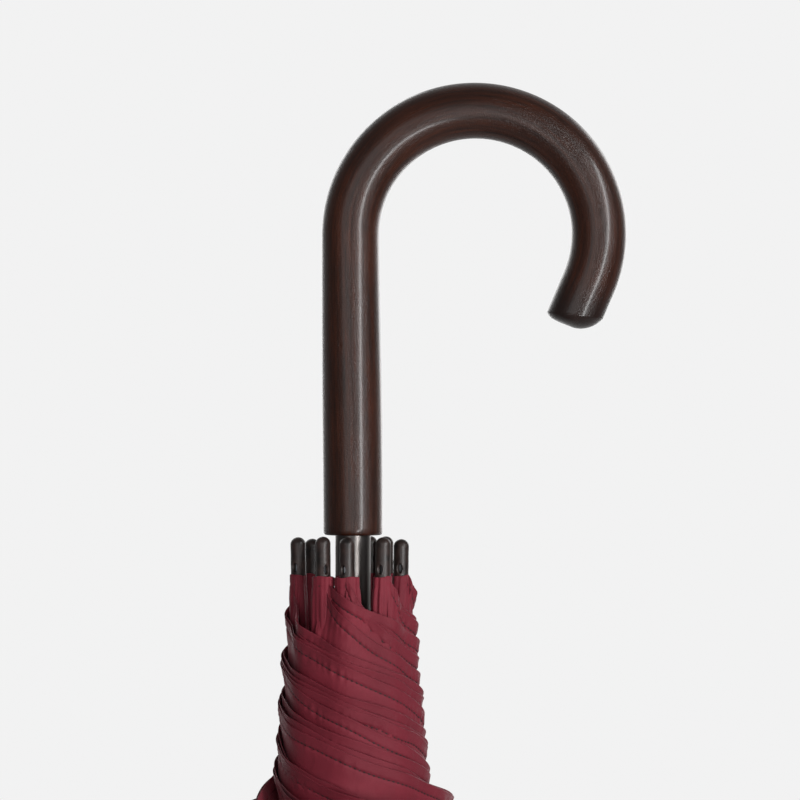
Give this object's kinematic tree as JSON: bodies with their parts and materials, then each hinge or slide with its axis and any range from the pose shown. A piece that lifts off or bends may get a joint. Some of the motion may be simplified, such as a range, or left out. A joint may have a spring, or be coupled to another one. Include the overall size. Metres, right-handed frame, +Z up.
{
  "type": "stick umbrella",
  "caption": "Full-length stick umbrella with a bent wooden crook handle, rolled fabric canopy on hinged ribs, sliding runner and slim metal shaft.",
  "frame": {"origin": "centre of the ferrule's end face, on the shaft's axis", "axes": "+Z up the shaft towards the crook; +X the way the crook bends; the crook lies in the XZ plane and -Y is the side that shows the strap's snap"},
  "size_m": [0.1484, 0.08, 0.8336],
  "materials": {
    "handle_wood": "stained dark brown and lacquered, satin gloss",
    "shaft_metal": "black nickel plate, glossy",
    "frame_steel": "black-plated spring steel, satin",
    "bright_steel": "bare steel wire, rivets and pins",
    "canopy_fabric": "maroon woven polyester, slight sheen",
    "rib_tip_plastic": "dark brown moulded plastic, satin",
    "runner_plastic": "black moulded nylon, satin"
  },
  "bodies": {
    "root": {"handle": "handle_wood", "shaft": "shaft_metal", "shaft_pins": "bright_steel", "top_notch": "shaft_metal", "notch_wire": "bright_steel", "crown_cap": "shaft_metal", "crown_rosette": "canopy_fabric", "ferrule": "shaft_metal", "ferrule_tip": "rib_tip_plastic", "strap_band": "canopy_fabric", "strap_snap_stud": "bright_steel"},
    "runner": {"runner": "runner_plastic", "runner_wire": "bright_steel"},
    "bottom_catch": {"bottom_catch": "bright_steel"},
    "top_catch": {"top_catch": "bright_steel"},
    "strap_tab": {"strap_tab": "canopy_fabric", "strap_snap_cap": "shaft_metal"},
    "rib_1": {"rib_1": "frame_steel", "rib_end_cap_1": "rib_tip_plastic", "rib_joiner_1": "bright_steel"},
    "stretcher_1": {"stretcher_1": "frame_steel"},
    "gore_1": {"canopy_gore_1": "canopy_fabric"},
    "rib_2": {"rib_2": "frame_steel", "rib_end_cap_2": "rib_tip_plastic", "rib_joiner_2": "bright_steel"},
    "stretcher_2": {"stretcher_2": "frame_steel"},
    "gore_2": {"canopy_gore_2": "canopy_fabric"},
    "rib_3": {"rib_3": "frame_steel", "rib_end_cap_3": "rib_tip_plastic", "rib_joiner_3": "bright_steel"},
    "stretcher_3": {"stretcher_3": "frame_steel"},
    "gore_3": {"canopy_gore_3": "canopy_fabric"},
    "rib_4": {"rib_4": "frame_steel", "rib_end_cap_4": "rib_tip_plastic", "rib_joiner_4": "bright_steel"},
    "stretcher_4": {"stretcher_4": "frame_steel"},
    "gore_4": {"canopy_gore_4": "canopy_fabric"},
    "rib_5": {"rib_5": "frame_steel", "rib_end_cap_5": "rib_tip_plastic", "rib_joiner_5": "bright_steel"},
    "stretcher_5": {"stretcher_5": "frame_steel"},
    "gore_5": {"canopy_gore_5": "canopy_fabric"},
    "rib_6": {"rib_6": "frame_steel", "rib_end_cap_6": "rib_tip_plastic", "rib_joiner_6": "bright_steel"},
    "stretcher_6": {"stretcher_6": "frame_steel"},
    "gore_6": {"canopy_gore_6": "canopy_fabric"},
    "rib_7": {"rib_7": "frame_steel", "rib_end_cap_7": "rib_tip_plastic", "rib_joiner_7": "bright_steel"},
    "stretcher_7": {"stretcher_7": "frame_steel"},
    "gore_7": {"canopy_gore_7": "canopy_fabric"},
    "rib_8": {"rib_8": "frame_steel", "rib_end_cap_8": "rib_tip_plastic", "rib_joiner_8": "bright_steel"},
    "stretcher_8": {"stretcher_8": "frame_steel"},
    "gore_8": {"canopy_gore_8": "canopy_fabric"}
  },
  "joints": [
    {"name": "runner_slide", "type": "slide", "parent": "root", "child": "runner", "axis": [0, 0, -1], "range_m": [0, 0.33349], "deforming": ["canopy_gore_1", "canopy_gore_2", "canopy_gore_3", "canopy_gore_4", "canopy_gore_5", "canopy_gore_6", "canopy_gore_7", "canopy_gore_8", "strap_band"]},
    {"name": "rib_1_hinge", "type": "hinge", "parent": "root", "child": "rib_1", "pos_m": [-0.00078, -0.00997, 0.072], "axis": [0.9969, -0.0785, 0], "range_deg": [0, 74.21]},
    {"name": "stretcher_1_hinge", "type": "hinge", "parent": "rib_1", "child": "stretcher_1", "pos_m": [-0.00103, -0.01308, 0.29698], "axis": [0.9969, -0.0785, 0], "range_deg": [-148.41, 0]},
    {"name": "gore_1_fan", "type": "hinge", "parent": "rib_1", "child": "gore_1", "pos_m": [-0.00057, -0.00726, 0.06238], "axis": [0.0755, 0.9593, 0.2722], "range_deg": [0, 45]},
    {"name": "rib_2_hinge", "type": "hinge", "parent": "root", "child": "rib_2", "pos_m": [0.00649, -0.0076, 0.072], "axis": [0.7604, 0.6494, 0], "range_deg": [0, 74.21]},
    {"name": "stretcher_2_hinge", "type": "hinge", "parent": "rib_2", "child": "stretcher_2", "pos_m": [0.00852, -0.00998, 0.29698], "axis": [0.7604, 0.6494, 0], "range_deg": [-148.41, 0]},
    {"name": "gore_2_fan", "type": "hinge", "parent": "rib_2", "child": "gore_2", "pos_m": [0.00473, -0.00553, 0.06238], "axis": [-0.6249, 0.7317, 0.2722], "range_deg": [0, 45]},
    {"name": "rib_3_hinge", "type": "hinge", "parent": "root", "child": "rib_3", "pos_m": [0.00997, -0.00078, 0.072], "axis": [0.0785, 0.9969, 0], "range_deg": [0, 74.21]},
    {"name": "stretcher_3_hinge", "type": "hinge", "parent": "rib_3", "child": "stretcher_3", "pos_m": [0.01308, -0.00103, 0.29698], "axis": [0.0785, 0.9969, 0], "range_deg": [-148.41, 0]},
    {"name": "gore_3_fan", "type": "hinge", "parent": "rib_3", "child": "gore_3", "pos_m": [0.00726, -0.00057, 0.06238], "axis": [-0.9593, 0.0755, 0.2722], "range_deg": [0, 45]},
    {"name": "rib_4_hinge", "type": "hinge", "parent": "root", "child": "rib_4", "pos_m": [0.0076, 0.00649, 0.072], "axis": [-0.6494, 0.7604, 0], "range_deg": [0, 74.21]},
    {"name": "stretcher_4_hinge", "type": "hinge", "parent": "rib_4", "child": "stretcher_4", "pos_m": [0.00998, 0.00852, 0.29698], "axis": [-0.6494, 0.7604, 0], "range_deg": [-148.41, 0]},
    {"name": "gore_4_fan", "type": "hinge", "parent": "rib_4", "child": "gore_4", "pos_m": [0.00553, 0.00473, 0.06238], "axis": [-0.7317, -0.6249, 0.2722], "range_deg": [0, 45]},
    {"name": "rib_5_hinge", "type": "hinge", "parent": "root", "child": "rib_5", "pos_m": [0.00078, 0.00997, 0.072], "axis": [-0.9969, 0.0785, 0], "range_deg": [0, 74.21]},
    {"name": "stretcher_5_hinge", "type": "hinge", "parent": "rib_5", "child": "stretcher_5", "pos_m": [0.00103, 0.01308, 0.29698], "axis": [-0.9969, 0.0785, 0], "range_deg": [-148.41, 0]},
    {"name": "gore_5_fan", "type": "hinge", "parent": "rib_5", "child": "gore_5", "pos_m": [0.00057, 0.00726, 0.06238], "axis": [-0.0755, -0.9593, 0.2722], "range_deg": [0, 45]},
    {"name": "rib_6_hinge", "type": "hinge", "parent": "root", "child": "rib_6", "pos_m": [-0.00649, 0.0076, 0.072], "axis": [-0.7604, -0.6494, 0], "range_deg": [0, 74.21]},
    {"name": "stretcher_6_hinge", "type": "hinge", "parent": "rib_6", "child": "stretcher_6", "pos_m": [-0.00852, 0.00998, 0.29698], "axis": [-0.7604, -0.6494, 0], "range_deg": [-148.41, 0]},
    {"name": "gore_6_fan", "type": "hinge", "parent": "rib_6", "child": "gore_6", "pos_m": [-0.00473, 0.00553, 0.06238], "axis": [0.6249, -0.7317, 0.2722], "range_deg": [0, 45]},
    {"name": "rib_7_hinge", "type": "hinge", "parent": "root", "child": "rib_7", "pos_m": [-0.00997, 0.00078, 0.072], "axis": [-0.0785, -0.9969, 0], "range_deg": [0, 74.21]},
    {"name": "stretcher_7_hinge", "type": "hinge", "parent": "rib_7", "child": "stretcher_7", "pos_m": [-0.01308, 0.00103, 0.29698], "axis": [-0.0785, -0.9969, 0], "range_deg": [-148.41, 0]},
    {"name": "gore_7_fan", "type": "hinge", "parent": "rib_7", "child": "gore_7", "pos_m": [-0.00726, 0.00057, 0.06238], "axis": [0.9593, -0.0755, 0.2722], "range_deg": [0, 45]},
    {"name": "rib_8_hinge", "type": "hinge", "parent": "root", "child": "rib_8", "pos_m": [-0.0076, -0.00649, 0.072], "axis": [0.6494, -0.7604, 0], "range_deg": [0, 74.21]},
    {"name": "stretcher_8_hinge", "type": "hinge", "parent": "rib_8", "child": "stretcher_8", "pos_m": [-0.00998, -0.00852, 0.29698], "axis": [0.6494, -0.7604, 0], "range_deg": [-148.41, 0]},
    {"name": "gore_8_fan", "type": "hinge", "parent": "rib_8", "child": "gore_8", "pos_m": [-0.00553, -0.00473, 0.06238], "axis": [0.7317, 0.6249, 0.2722], "range_deg": [0, 45]},
    {"name": "bottom_catch_spring", "type": "hinge", "parent": "root", "child": "bottom_catch", "pos_m": [0.00161, -0.00495, 0.56846], "axis": [0.9511, 0.309, 0], "range_deg": [0, 5.5], "stiffness_Nm_per_rad": 0.05},
    {"name": "top_catch_spring", "type": "hinge", "parent": "root", "child": "top_catch", "pos_m": [0.00161, -0.00495, 0.30467], "axis": [-0.9511, -0.309, 0], "range_deg": [0, 5.5], "stiffness_Nm_per_rad": 0.05},
    {"name": "strap_open", "type": "hinge", "parent": "root", "child": "strap_tab", "pos_m": [0.00053, -0.0302, 0.467], "axis": [0, 0, -1], "range_deg": [0, 100]}
  ],
  "couplings": [
    {"joint": "rib_1_hinge", "follows": "runner_slide", "rad_per_m": 3.8836},
    {"joint": "stretcher_1_hinge", "follows": "runner_slide", "rad_per_m": -7.7672},
    {"joint": "gore_1_fan", "follows": "runner_slide", "rad_per_m": 2.3551},
    {"joint": "rib_2_hinge", "follows": "runner_slide", "rad_per_m": 3.8836},
    {"joint": "stretcher_2_hinge", "follows": "runner_slide", "rad_per_m": -7.7672},
    {"joint": "gore_2_fan", "follows": "runner_slide", "rad_per_m": 2.3551},
    {"joint": "rib_3_hinge", "follows": "runner_slide", "rad_per_m": 3.8836},
    {"joint": "stretcher_3_hinge", "follows": "runner_slide", "rad_per_m": -7.7672},
    {"joint": "gore_3_fan", "follows": "runner_slide", "rad_per_m": 2.3551},
    {"joint": "rib_4_hinge", "follows": "runner_slide", "rad_per_m": 3.8836},
    {"joint": "stretcher_4_hinge", "follows": "runner_slide", "rad_per_m": -7.7672},
    {"joint": "gore_4_fan", "follows": "runner_slide", "rad_per_m": 2.3551},
    {"joint": "rib_5_hinge", "follows": "runner_slide", "rad_per_m": 3.8836},
    {"joint": "stretcher_5_hinge", "follows": "runner_slide", "rad_per_m": -7.7672},
    {"joint": "gore_5_fan", "follows": "runner_slide", "rad_per_m": 2.3551},
    {"joint": "rib_6_hinge", "follows": "runner_slide", "rad_per_m": 3.8836},
    {"joint": "stretcher_6_hinge", "follows": "runner_slide", "rad_per_m": -7.7672},
    {"joint": "gore_6_fan", "follows": "runner_slide", "rad_per_m": 2.3551},
    {"joint": "rib_7_hinge", "follows": "runner_slide", "rad_per_m": 3.8836},
    {"joint": "stretcher_7_hinge", "follows": "runner_slide", "rad_per_m": -7.7672},
    {"joint": "gore_7_fan", "follows": "runner_slide", "rad_per_m": 2.3551},
    {"joint": "rib_8_hinge", "follows": "runner_slide", "rad_per_m": 3.8836},
    {"joint": "stretcher_8_hinge", "follows": "runner_slide", "rad_per_m": -7.7672},
    {"joint": "gore_8_fan", "follows": "runner_slide", "rad_per_m": 2.3551}
  ]
}
